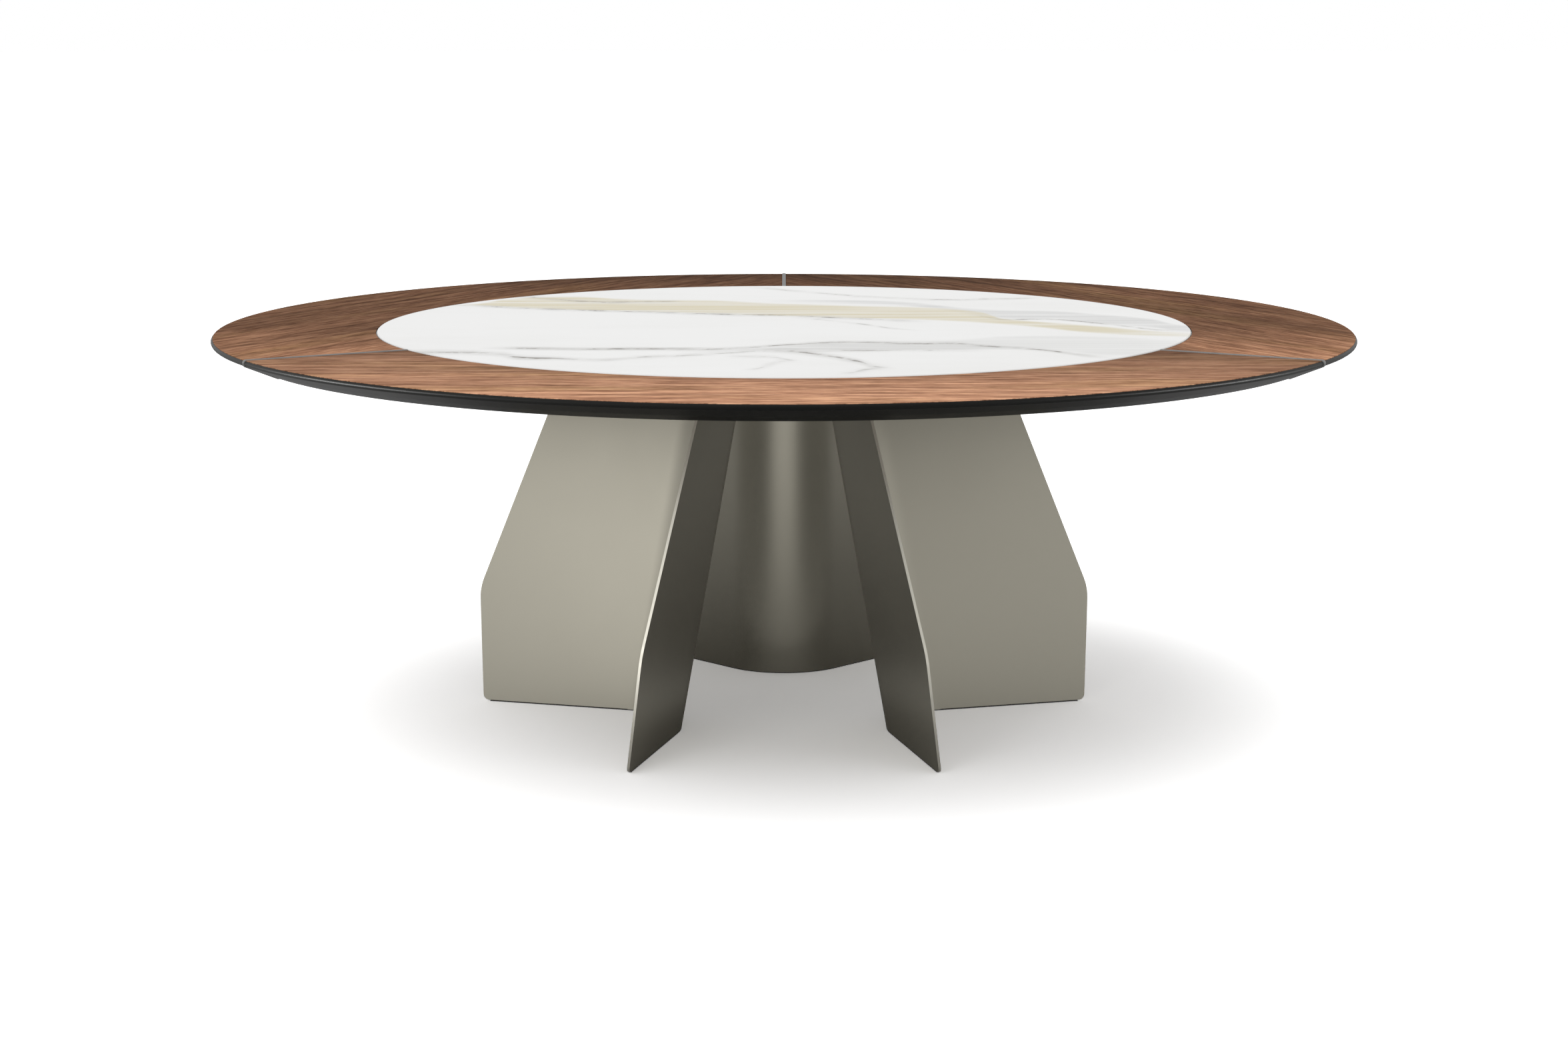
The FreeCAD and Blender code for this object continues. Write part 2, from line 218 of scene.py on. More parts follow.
def new_material(name):
    finish = bpy.data.materials.new(name)
    finish.use_nodes = True
    finish.node_tree.nodes.clear()
    return finish, finish.node_tree


def stage_piece(name, mesh, finish):
    mesh.materials.append(finish)
    piece = place_object(name, mesh)
    return piece


floor_finish, tree = new_material("pale_floor")
ray = add(tree, "ShaderNodeLightPath").outputs
color = blend(tree, ray["Is Glossy Ray"], floor_color, floor_mirrored_color)
color = blend(tree, ray["Is Camera Ray"], color, floor_seen_color)
matt = add(tree, "ShaderNodeBsdfDiffuse", {"Color": color})
glow = add(tree, "ShaderNodeEmission", {"Strength": times(tree, ray["Is Camera Ray"], floor_glow)})
mixed = add(tree, "ShaderNodeAddShader", {0: matt.outputs[0], 1: glow.outputs[0]})
add(tree, "ShaderNodeOutputMaterial", {"Surface": mixed.outputs[0]})

disc = bmesh.new()
bmesh.ops.create_circle(disc, cap_ends=True, segments=floor_sides, radius=floor_radius)
floor_mesh = bpy.data.meshes.new("floor")
disc.to_mesh(floor_mesh)
disc.free()
floor = stage_piece("floor", floor_mesh, floor_finish)
floor.location.z = cad_low.z - floor_drop
print("floor radius:", floor_radius)

# %% [markdown]
# ## Reflector cards
# A metal base shows what stands round it, so a photographer lays out white cards. One before the round
# fold gives it its bright line, and fades to the sides like a fan, so that the line has soft edges. A
# screen close to the fold adds a faint veil, a narrow card lifts the faces of the two fins, one on either
# side draws the light line along their cut edges, and two further out serve the rim. Lamps would do it
# too, but would also light the floor. The cards are there for reflections alone: they cast no shadow, and
# no camera sees them. Later each is told which pieces it may shine on.

# %% Lay the cards
edge_corners = [(-2.10, -2.70), (-0.75, -3.00), (-0.32, -0.95), (-0.95, -0.75)]
rim_corners = [(-2.40, -1.10), (-0.95, -0.80), (-0.80, 0.70), (-2.40, 0.90)]
screen_corners = [(-0.30, 0.18, 0.02), (0.30, 0.18, 0.02), (0.30, 0.036, 0.70), (-0.30, 0.036, 0.70)]
screen_level = 0.14
card_near, card_far = -0.75, 0.12
card_fans = {"fold": (0.42, 0.05, 0.80)}


def mirrored(corners):
    return [(-x, y) for x, y in corners]


card_plans = {
    # level at the near and at the far end, corners on the floor
    "fold": (0.94, 0.10, [(-1.60, -1.50), (1.60, -1.50), (0.20, 0.28), (-0.20, 0.28)]),
    "fins": (0.70, 0.08, [(-0.34, -1.40), (0.30, -1.40), (0.11, -0.60), (0.05, 0.12), (-0.07, 0.12),
                          (-0.14, -0.60)]),
    "left": (2.3, 0.0, edge_corners),
    "right": (0.7, 0.0, mirrored(edge_corners)),
    "rim_left": (0.26, 0.26, rim_corners),
    "rim_right": (0.15, 0.15, mirrored(rim_corners)),
}


def lay_card(name, near, far, corners):
    finish, tree = new_material("white_card_" + name)
    axes = split(tree, add(tree, "ShaderNodeTexCoord").outputs["Object"])
    level = ramp_value(tree, axes[1], card_near, card_far, near, far)
    if name in card_fans:
        start, inner, outer = card_fans[name]
        slant = calc(tree, "DIVIDE", calc(tree, "ABSOLUTE", axes[0]), minus(tree, start, axes[1]))
        level = times(tree, level, ramp_value(tree, slant, inner, outer, 1.0, 0.0, smooth=True))
    shine = add(tree, "ShaderNodeEmission", {"Color": white, "Strength": level})
    clear = add(tree, "ShaderNodeBsdfTransparent")
    mixed = add(tree, "ShaderNodeAddShader", {0: clear.outputs[0], 1: shine.outputs[0]})
    add(tree, "ShaderNodeOutputMaterial", {"Surface": mixed.outputs[0]})
    mesh = bpy.data.meshes.new("reflector_card_" + name)
    mesh.from_pydata(corners, [], [range(len(corners))])
    card = stage_piece("reflector_card_" + name, mesh, finish)
    card.visible_camera = card.visible_diffuse = card.visible_shadow = card.visible_transmission = False
    return card


cards = {"screen": lay_card("screen", screen_level, screen_level, screen_corners)}
for name, (near, far, corners) in card_plans.items():
    height = cad_low.z + floor_drop * len(cards)
    cards[name] = lay_card(name, near, far, [(x, y, height) for x, y in corners])
print("cards:", sorted(cards))

# %% [markdown]
# ## Helpers for shader groups
# Several finishes share an effect, such as a mottle. Copying its nodes into each would work, but a change
# would have to be made in every copy, so each effect is a node group with named inputs and outputs. The
# helpers make, end and use such groups, and give the steps that they are made of, such as a noise that
# is stretched along one axis.

# %% Helpers for shader groups
def new_group(name, inputs, outputs, group_kind="ShaderNodeTree"):
    group = bpy.data.node_groups.new(name, group_kind)
    for label, kind, value in inputs:
        socket = group.interface.new_socket(label, in_out="INPUT", socket_type="NodeSocket" + kind)
        if value is not None:
            socket.default_value = value
    for label, kind in outputs:
        group.interface.new_socket(label, in_out="OUTPUT", socket_type="NodeSocket" + kind)
    return group, add(group, "NodeGroupInput").outputs, add(group, "NodeGroupOutput").inputs


def end_group(group, made, **values):
    for label, value in values.items():
        group.links.new(value, made[label])
    print("group:", group.name)


def use_group(tree, group, inputs):
    return add(tree, "ShaderNodeGroup", inputs, node_tree=group).outputs


def join(tree, x=0.0, y=0.0, z=0.0):
    return add(tree, "ShaderNodeCombineXYZ", {0: x, 1: y, 2: z}).outputs[0]


def grey(tree, value):
    return add(tree, "ShaderNodeCombineColor", {0: value, 1: value, 2: value}).outputs[0]


def noise(tree, vector, along, across, detail=2.0, roughness=0.5):
    mapped = add(tree, "ShaderNodeMapping", {"Vector": vector, "Scale": (along, across, 1.0)}).outputs[0]
    inputs = {"Vector": mapped, "Scale": 1.0, "Detail": detail, "Roughness": roughness}
    return add(tree, "ShaderNodeTexNoise", inputs).outputs[0]


def noises(tree, vector, table):
    # Each row of the table holds the scale along and across, the detail and the roughness
    return {name: noise(tree, vector, *sizes) for name, sizes in table.items()}


noise_middle = 0.5
print("group helpers ready")

# %% [markdown]
# ## Mottle, shared by every sprayed and rolled surface
# Lacquer, powder coat and rolled metal are never one flat tone: the coat is a little thicker here and
# there. A painted picture would show that too, but noise in the object's own coordinates has no seams
# and no edge. It is a node group, because many finishes use it, each with its own scale and amount.

# %% Shader group: mottle
grit_share = 60.0
mottle, given, made = new_group(
    "Mottle",
    [("Vector", "Vector", None), ("Color", "Color", (0.5, 0.5, 0.5, 1.0)), ("Scale", "Float", 8.0),
     ("Amount", "Float", 0.1), ("Roughness", "Float", 0.4), ("Spread", "Float", 0.05)],
    [("Color", "Color"), ("Roughness", "Float"), ("Height", "Float")],
)
cloud = add(mottle, "ShaderNodeTexNoise", {
    "Vector": given["Vector"], "Scale": given["Scale"], "Detail": 4.0, "Roughness": 0.6}).outputs[0]
grit = add(mottle, "ShaderNodeTexNoise", {
    "Vector": given["Vector"], "Scale": times(mottle, given["Scale"], grit_share), "Detail": 2.0}).outputs[0]
centred = minus(mottle, cloud, noise_middle)
factor = calc(mottle, "ADD", times(mottle, centred, given["Amount"]), 1.0)
mottled = blend(mottle, 1.0, given["Color"], grey(mottle, factor), "MULTIPLY")
rough = calc(mottle, "ADD", given["Roughness"], times(mottle, centred, given["Spread"]))
end_group(mottle, made, Color=mottled, Roughness=rough, Height=grit)

# %% [markdown]
# ## Brush lines, shared by the metals
# Sheet and strip leave the mill with fine lines in the rolling direction. They are thousands, far too
# many to model, so a noise that is stretched along one axis stands for them. The lines run along the X
# of the vector that the group takes.

# %% Shader group: brush lines
line_stretch = 0.006
brushed, given, made = new_group(
    "Brush Lines",
    [("Vector", "Vector", None), ("Density", "Float", 900.0)],
    [("Lines", "Float")],
)
thin = times(brushed, given["Density"], line_stretch)
stretch = join(brushed, thin, given["Density"], given["Density"])
mapped = add(brushed, "ShaderNodeVectorMath", {0: given["Vector"], 1: stretch}, operation="MULTIPLY")
lines = add(brushed, "ShaderNodeTexNoise", {"Vector": mapped.outputs[0], "Scale": 1.0, "Detail": 3.0})
end_group(brushed, made, Lines=lines.outputs[0])

# %% [markdown]
# ## Walnut figure
# The ring is covered with straight-grained walnut leaves. From afar such a leaf has broad bands and dark
# lines a few centimetres apart. Up close there are grain lines, fine threads and short dark pores, and
# the hue drifts between reddish and golden brown. Each of these is a noise that is stretched along the
# grain, at its own scale. The group gets the grain's own coordinates and a painted light level. That level
# paints the front leaf lighter than the two at the rear as painted sheen and painted shade. The group puts
# out colour, gloss and the height of the pores.

# %% Shader group: walnut figure
grain_sway = 0.05
sway_noise = (1.1, 4.0)
grain_noises = {
    "bands": (0.5, 11.0, 2.0, 0.5), "streaks": (2.4, 46.0, 4.0, 0.62), "fine": (9.0, 115.0, 4.0, 0.66),
    "threads": (22.0, 330.0, 2.0, 0.6), "rings": (1.3, 44.0, 3.0, 0.65), "pores": (30.0, 420.0, 2.0, 0.7),
    "golden": (1.4, 9.0, 2.0, 0.5)}
figure_shares = {"streaks": 0.32, "fine": 0.46, "threads": 0.22}
dark_stop = (0.39, (0.135, 0.062, 0.036, 1.0))
middle_stop = (0.50, (0.420, 0.221, 0.138, 1.0))
light_stop = (0.61, (0.700, 0.408, 0.262, 1.0))
golden_tint = (0.99, 1.05, 0.93, 1.0)

walnut, given, made = new_group(
    "Walnut Figure",
    [("Vector", "Vector", None), ("Painted Light Level", "Float", 1.0)],
    [("Color", "Color"), ("Roughness", "Float"), ("Height", "Float")],
)
axes = split(walnut, given["Vector"])
sway = minus(walnut, noise(walnut, given["Vector"], *sway_noise), noise_middle)
across = calc(walnut, "ADD", axes[1], times(walnut, sway, grain_sway))
layers = noises(walnut, join(walnut, axes[0], across), grain_noises)
rings = ramp_value(walnut, layers["rings"], 0.54, 0.66)
pores = ramp_value(walnut, layers["pores"], 0.53, 0.68)
golden = ramp_value(walnut, layers["golden"], 0.50, 0.72)
figure = 0.0
for name, share in figure_shares.items():
    figure = calc(walnut, "ADD", times(walnut, layers[name], share), figure)
ramp = add(walnut, "ShaderNodeValToRGB", {0: figure})
stops = ramp.color_ramp.elements
stops[0].position, stops[0].color = dark_stop
stops[1].position, stops[1].color = light_stop
stops.new(middle_stop[0]).color = middle_stop[1]
# The painted light level multiplies the colour: painted sheen where it is above 1, painted shade below
light = times(
    walnut, ramp_value(walnut, layers["bands"], 0.3, 0.7, 0.80, 1.18), given["Painted Light Level"],
    ramp_value(walnut, rings, 0.0, 1.0, 1.05, 0.72), ramp_value(walnut, pores, 0.0, 1.0, 1.05, 0.62))
toned = blend(walnut, 1.0, ramp.outputs[0], grey(walnut, light), "MULTIPLY")
tinted = blend(walnut, 1.0, toned, blend(walnut, golden, white, golden_tint), "MULTIPLY")
rough = ramp_value(walnut, figure, 0.3, 0.7, 0.84, 0.72)
height = minus(walnut, layers["threads"], pores)
end_group(walnut, made, Color=tinted, Roughness=rough, Height=height)

# %% [markdown]
# ## Helpers for finishes
# A finish here is one Principled surface, which can stand for wood, metal, lacquer and glass alike. One
# helper makes it and hands out the object's own coordinates, one turns a height into bump, and one puts
# the finish on a solid.

# %% Helpers for finishes
def new_finish(name, metallic=0.0, roughness=0.5, specular=0.5):
    finish, tree = new_material(name)
    surface = add(tree, "ShaderNodeBsdfPrincipled", {
        "Metallic": metallic, "Roughness": roughness, "Specular IOR Level": specular})
    add(tree, "ShaderNodeOutputMaterial", {"Surface": surface.outputs[0]})
    return finish, tree, surface, add(tree, "ShaderNodeTexCoord").outputs["Object"]


def bump(tree, surface, height, strength, distance):
    node = add(tree, "ShaderNodeBump", {"Height": height, "Strength": strength, "Distance": distance})
    tree.links.new(node.outputs[0], surface.inputs["Normal"])


def dress(node, finish):
    solids[node].data.materials.clear()
    solids[node].data.materials.append(finish)


print("finish helpers ready")

# %% [markdown]
# ## Three walnut leaves
# In each leaf the grain runs square to the leaf's own middle line, so neighbouring leaves meet at an
# angle of 120 degrees at the strips. One material turned three ways would do for the grain, but the
# painted light differs too, so there are three materials that share the group. The colour is painted
# lighter at the front and darker towards the back, a painted sheen and painted shade for the light
# across the top.

# %% Finish: walnut leaves
pore_strength, pore_depth = 0.25, 0.0004
# Painted sheen and painted shade: the walnut is painted lighter at the front and darker towards the back
front_painted_light = [(-1.05, 1.15), (-0.75, 0.84), (-0.45, 0.45)]
rear_painted_light = [(-0.45, 0.80), (-0.30, 0.62), (0.0, 0.37), (0.65, 0.34), (1.05, 0.17)]
front_tint, rear_tint = (1.0, 0.98, 0.94, 1.0), (1.0, 0.94, 0.86, 1.0)
leaves = {
    # angle of the grain, start of the figure, painted light by distance to the back, tint
    "front": (0.0, 0.0, front_painted_light, front_tint),
    "rear_left": (60.0, 3.7, rear_painted_light, rear_tint),
    "rear_right": (120.0, 8.2, rear_painted_light, rear_tint),
}
for leaf, (angle, start, painted_light_steps, tint) in leaves.items():
    finish, tree, surface, place = new_finish("walnut_" + leaf, specular=0.01)
    turned = add(tree, "ShaderNodeMapping", {
        "Vector": place, "Rotation": (0.0, 0.0, math.radians(-angle)), "Location": (start, 0.0, 0.0)})
    depth = split(tree, place)[1]
    # The painted light level is drawn from these steps by the distance towards the back
    painted_light_level = painted_light_steps[0][1]
    for (near, before), (far, after) in zip(painted_light_steps, painted_light_steps[1:]):
        painted_light_level = calc(tree, "ADD", ramp_value(tree, depth, near, far, 0.0, after - before), painted_light_level)
    wood = use_group(tree, walnut, {"Vector": turned.outputs[0], "Painted Light Level": painted_light_level})
    stain = blend(tree, 1.0, wood["Color"], tint, "MULTIPLY")
    tree.links.new(stain, surface.inputs["Base Color"])
    tree.links.new(wood["Roughness"], surface.inputs["Roughness"])
    bump(tree, surface, wood["Height"], pore_strength, pore_depth)
    dress("veneer_" + leaf, finish)
print("walnut leaves:", sorted(leaves))

# %% [markdown]
# ## A vein in stone
# The disc is a ceramic slab with the look of veined marble. A vein is a line that wanders, fades in and
# out and breaks up. Drawing it as a mesh would lay it on the slab, so it is a mask instead: how far a
# point is from a route, softened and broken by noise. A dark core in dashes lies in a pale halo. The
# route is a curve of the distance along X, given by a few points, and comes from the material.

# %% Shader group: stone vein
slab_reach = 0.8
core_share = 1.1
halo_share, halo_depth = 2.8, 0.30
vein_fade = 0.08
vein_noises = {
    "shake": (9.0, 16.0, 4.0, 0.6), "dashes": (12.0, 20.0, 5.0, 0.7), "gaps": (15.0, 24.0, 5.0, 0.7)}
vein, given, made = new_group(
    "Stone Vein",
    [("Vector", "Vector", None), ("Route", "Float", 0.5), ("Width", "Float", 0.006),
     ("Wander", "Float", 0.02), ("Start", "Float", -0.6), ("End", "Float", 0.6), ("Breaks", "Float", 0.5)],
    [("Mask", "Float")],
)
axes = split(vein, given["Vector"])
layers = noises(vein, given["Vector"], vein_noises)
route = ramp_value(vein, given["Route"], 0.0, 1.0, -slab_reach, slab_reach)
shake = minus(vein, layers["shake"], noise_middle)
off = calc(vein, "ADD", minus(vein, axes[1], route), times(vein, shake, given["Wander"]))
away = calc(vein, "ABSOLUTE", off)
line = ramp_value(vein, away, times(vein, given["Width"], core_share), 0.0, smooth=True)
halo = ramp_value(vein, away, times(vein, given["Width"], halo_share), 0.0, 0.0, halo_depth, smooth=True)
dashes = ramp_value(vein, layers["dashes"], 0.44, 0.55)
core = calc(vein, "MAXIMUM", times(vein, line, dashes), halo)
fade_in = ramp_value(vein, minus(vein, axes[0], given["Start"]), 0.0, vein_fade, smooth=True)
fade_out = ramp_value(vein, minus(vein, given["End"], axes[0]), 0.0, vein_fade, smooth=True)
gaps = ramp_value(vein, layers["gaps"], 0.40, 0.60)
kept = minus(vein, 1.0, times(vein, given["Breaks"], minus(vein, 1.0, gaps)))
mask = times(vein, times(vein, core, kept), times(vein, fade_in, fade_out))
end_group(vein, made, Mask=mask)

# %% [markdown]
# ## A band in stone
# A band is the room between two routes. Its edges are soft and a little shaken, it fades at both ends,
# and fine streaks run through it. It is a mask too, because its tint lies in the glaze and not on it.

# %% Shader group: stone band
band_shake = 0.06
band_noises = {"shake": (2.5, 9.0, 4.0, 0.5), "streaks": (1.6, 34.0, 4.0, 0.6)}
band, given, made = new_group(
    "Stone Band",
    [("Vector", "Vector", None), ("Lower", "Float", 0.4), ("Upper", "Float", 0.6), ("Soft", "Float", 0.03),
     ("Start", "Float", -0.6), ("End", "Float", 0.6), ("Fade", "Float", 0.2)],
    [("Mask", "Float"), ("Streaks", "Float")],
)
axes = split(band, given["Vector"])
layers = noises(band, given["Vector"], band_noises)
shake = minus(band, layers["shake"], noise_middle)
level = calc(band, "ADD", axes[1], times(band, shake, band_shake))
lower = ramp_value(band, given["Lower"], 0.0, 1.0, -slab_reach, slab_reach)
upper = ramp_value(band, given["Upper"], 0.0, 1.0, -slab_reach, slab_reach)
above = ramp_value(band, minus(band, level, lower), 0.0, given["Soft"], smooth=True)
below = ramp_value(band, minus(band, upper, level), 0.0, given["Soft"], smooth=True)
after = calc(band, "DIVIDE", minus(band, axes[0], given["Start"]), given["Fade"], clamp=True)
before = calc(band, "DIVIDE", minus(band, given["End"], axes[0]), given["Fade"], clamp=True)
mask = times(band, times(band, above, below), times(band, after, before))
end_group(band, made, Mask=mask, Streaks=layers["streaks"])

# %% [markdown]
# ## Routes on the slab
# A broad beige band crosses the slab behind its middle and thins out to the right, with a grey streak
# beside it. In front a thin, dark vein runs from side to side, short branches leave it, and a second vein
# runs before it. The room between these two is grey, and a paler mist lies to the right. A curve needs
# few points, so each route is a handful of places in metres, from left to right.

# %% Routes of the bands and veins
beige_lower = [(-0.67, 0.36), (-0.51, 0.30), (-0.32, 0.25), (-0.10, 0.19), (0.13, 0.125), (0.32, 0.06),
               (0.49, -0.05), (0.59, -0.14), (0.69, -0.19), (0.78, -0.22)]
beige_upper = [(-0.67, 0.40), (-0.58, 0.52), (-0.45, 0.56), (-0.34, 0.51), (-0.16, 0.49), (-0.03, 0.43),
               (0.13, 0.38), (0.33, 0.325), (0.40, 0.26), (0.44, 0.13), (0.60, 0.005), (0.78, -0.11)]
grey_lower = [(-0.03, 0.42), (0.13, 0.385), (0.245, 0.35), (0.39, 0.17), (0.44, 0.11), (0.55, 0.085),
              (0.60, 0.03), (0.71, -0.055), (0.78, -0.13)]
grey_upper = [(-0.03, 0.50), (0.13, 0.495), (0.26, 0.45), (0.40, 0.32), (0.56, 0.27), (0.65, 0.20),
              (0.73, 0.13), (0.79, 0.02)]
mist_lower = [(-0.05, -0.42), (0.115, -0.413), (0.36, -0.405), (0.44, -0.41), (0.50, -0.436),
              (0.59, -0.51), (0.70, -0.50)]
mist_upper = [(-0.05, -0.33), (0.06, -0.28), (0.175, -0.245), (0.32, -0.22), (0.41, -0.17), (0.52, -0.16),
              (0.61, -0.18), (0.76, -0.24)]
front_line = [(-0.52, -0.375), (-0.44, -0.386), (-0.27, -0.386), (-0.11, -0.386), (-0.06, -0.369),
              (0.005, -0.325), (0.05, -0.304), (0.106, -0.285), (0.185, -0.293), (0.24, -0.309),
              (0.32, -0.306), (0.37, -0.345), (0.467, -0.403), (0.58, -0.512)]
second_line = [(-0.47, -0.53), (-0.427, -0.52), (-0.36, -0.543), (-0.318, -0.548), (-0.266, -0.518),
               (-0.19, -0.492), (-0.12, -0.459), (-0.058, -0.426), (0.017, -0.413), (0.115, -0.413),
               (0.36, -0.405)]
beige_line = [(-0.67, 0.37), (-0.59, 0.339), (-0.51, 0.304), (-0.32, 0.252), (-0.10, 0.193),
              (0.02, 0.168), (0.13, 0.122), (0.30, 0.065)]
bands = [
    # lower and upper route, start, end, softness, tint, strength
    (mist_lower, mist_upper, -0.10, 0.86, 0.05, (0.62, 0.62, 0.61, 1.0), 0.80),
    (second_line, front_line, -0.20, 0.55, 0.03, (0.56, 0.56, 0.55, 1.0), 0.80),
    (grey_lower, grey_upper, -0.05, 0.95, 0.05, (0.53, 0.53, 0.525, 1.0), 0.85),
    (beige_lower, beige_upper, -0.86, 0.84, 0.04, (0.57, 0.51, 0.345, 1.0), 0.95),
]
veins = [
    # route, width, wander, start, end, breaks, depth of colour
    (front_line, 0.015, 0.02, -0.52, 0.60, 0.60, 1.0),
    ([(-0.50, -0.378), (-0.44, -0.386), (-0.27, -0.388), (-0.11, -0.386)],
     0.013, 0.012, -0.56, -0.12, 0.40, 1.0),
    ([(-0.65, -0.435), (-0.56, -0.446), (-0.507, -0.469), (-0.471, -0.512), (-0.42, -0.525)],
     0.020, 0.03, -0.72, -0.38, 0.5, 1.0),
    (second_line, 0.015, 0.03, -0.5, 0.38, 0.6, 0.7),
    ([(-0.01, -0.41), (0.06, -0.47), (0.13, -0.57), (0.17, -0.65)], 0.022, 0.03, -0.05, 0.20, 0.4, 1.0),
    ([(0.11, -0.73), (0.13, -0.70), (0.17, -0.66)], 0.020, 0.05, 0.08, 0.19, 0.5, 0.9),
    ([(-0.07, -0.50), (-0.02, -0.51), (0.02, -0.56)], 0.015, 0.03, -0.12, 0.04, 0.5, 0.8),
    ([(-0.06, -0.69), (-0.03, -0.63), (0.01, -0.56)], 0.020, 0.05, -0.08, 0.03, 0.5, 0.8),
    ([(-0.08, 0.76), (0.04, 0.66), (0.18, 0.55), (0.32, 0.49), (0.43, 0.50), (0.57, 0.53)],
     0.016, 0.03, -0.1, 0.56, 0.80, 0.65),
    ([(0.39, 0.17), (0.43, 0.11), (0.54, 0.10), (0.62, 0.03), (0.76, -0.10)],
     0.012, 0.02, 0.36, 0.78, 0.8, 0.85),
    (beige_line, 0.016, 0.03, -0.70, 0.30, 0.6, 0.85),
    ([(-0.57, 0.56), (-0.516, 0.52), (-0.46, 0.474), (-0.393, 0.44), (-0.25, 0.45)],
     0.018, 0.04, -0.64, -0.20, 0.6, 0.85),
    ([(0.04, 0.12), (0.14, 0.03), (0.26, -0.09)], 0.012, 0.03, 0.0, 0.28, 0.8, 0.5),
]
print("bands:", len(bands), "veins:", len(veins))

# %% [markdown]
# ## The veined slab
# The bands are laid into the pale stone first and the veins over them, as in a real slab, where a vein is
# a crack that filled up later. The glaze is smooth, so there is no bump, and its gloss stays low, because
# the slab mirrors nothing in the portrait.

# %% Finish: veined ceramic
stone_pale, stone_cloud = (0.752, 0.752, 0.745, 1.0), (0.722, 0.720, 0.708, 1.0)
cloud_noise = (1.5, 4.0, 4.0, 0.6)
vein_color = (0.085, 0.070, 0.045, 1.0)


def route_curve(tree, along, places):
    node = add(tree, "ShaderNodeFloatCurve", {"Value": along})
    points = node.mapping.curves[0].points
    spots = [[(v + slab_reach) / (2 * slab_reach) for v in place] for place in places]
    points[0].location, points[1].location = (0.0, spots[0][1]), (1.0, spots[-1][1])
    for spot in spots:
        points.new(*spot)
    node.mapping.update()
    return node.outputs[0]


ceramic, tree, surface, place = new_finish("veined_ceramic", roughness=0.25, specular=0.02)
along = ramp_value(tree, split(tree, place)[0], -slab_reach, slab_reach)
clouds = ramp_value(tree, noise(tree, place, *cloud_noise), 0.45, 0.75)
stone = blend(tree, clouds, stone_pale, stone_cloud)
for lower, upper, start, end, soft, tint, strength in bands:
    zone = use_group(tree, band, {
        "Vector": place, "Lower": route_curve(tree, along, lower), "Upper": route_curve(tree, along, upper),
        "Soft": soft, "Start": start, "End": end})
    worn = ramp_value(tree, zone["Streaks"], 0.36, 0.58, 0.45, 1.0)
    stone = blend(tree, times(tree, zone["Mask"], worn, strength), stone, tint)
for places, width, wander, start, end, breaks, depth in veins:
    line = use_group(tree, vein, {
        "Vector": place, "Route": route_curve(tree, along, places), "Width": width, "Wander": wander,
        "Start": start, "End": end, "Breaks": breaks})
    stone = blend(tree, times(tree, line["Mask"], depth), stone, vein_color)
tree.links.new(stone, surface.inputs["Base Color"])
dress("ceramic_disc", ceramic)
print("finish:", ceramic.name)

# %% [markdown]
# ## Titanium-coloured lacquer for the base
# The sheets of the base have a satin metallic lacquer. What is seen on them is mostly the studio: a light
# inside face mirrors the white room, a dark outside face mirrors its neighbour and the shaded floor. So
# the finish is a metal with middling gloss, and only a faint mottle and faint level lines are its own. At
# a low angle most metals shine white, but lacquer dulls that, so the tint for the edge is set too. Along
# a cut edge the lacquer is thin and the metal looks lighter. So a second, lighter finish is made for it,
# and it is partly that thin lacquer and partly a painted highlight along the edges.

# %% Finish: base lacquer
mill_depth = 0.0003
metal_specular, metal_spread = 0.2, 0.08


def sprayed(name, color, rough, scale, amount, spread, specular, metallic=0.0):
    finish, tree, surface, place = new_finish(name, metallic=metallic, specular=specular)
    coat = use_group(tree, mottle, {
        "Vector": place, "Color": (*color, 1.0), "Scale": scale, "Amount": amount, "Roughness": rough,
        "Spread": spread})
    tree.links.new(coat["Color"], surface.inputs["Base Color"])
    tree.links.new(coat["Roughness"], surface.inputs["Roughness"])
    return finish, tree, surface, place, coat["Height"]


def metal_finish(name, color, rough, amount, lines, density, scale=6.0, metallic=1.0, edge=1.0):
    finish, tree, surface, place, _ = sprayed(
        name, color, rough, scale, amount, metal_spread, metal_specular, metallic)
    surface.inputs["Specular Tint"].default_value = (edge, edge, edge, 1.0)
    mill = use_group(tree, brushed, {"Vector": place, "Density": density})
    bump(tree, surface, mill["Lines"], lines, mill_depth)
    return finish


titanium = metal_finish(
    "titanium_lacquer", (0.350, 0.332, 0.277), 0.38, 0.06, 0.03, 500.0, metallic=0.82, edge=0.5)
# A lighter finish for the cut edges: partly the thin lacquer there, partly a painted highlight
edge_thin_lacquer_and_highlight = metal_finish(
    "edge_thin_lacquer_and_highlight", (0.560, 0.540, 0.470), 0.36, 0.06, 0.03, 500.0, metallic=0.82, edge=0.8)
print("finishes:", titanium.name, edge_thin_lacquer_and_highlight.name)

# %% [markdown]
# ## Black rim, strips and the hidden frame
# The rim is lacquered board: nearly black, with a soft shine that shows only at a low angle. The strips
# are satin steel with fine lines. What is under the top, which a guest never sees, still gets its own
# finish: powder-coated bars, zinc screws, stained board, clear pads and black glides.

# %% Finishes: lacquer, steel, powder coat and the rest
coat_spread = 0.10
peel_depth = 0.0002
glass_tint = (0.72, 0.86, 0.82, 1.0)
glass_index = 1.5


def coated_finish(name, color, rough, specular, scale, amount, peel):
    finish, tree, surface, _, height = sprayed(name, color, rough, scale, amount, coat_spread, specular)
    bump(tree, surface, height, peel, peel_depth)
    return finish


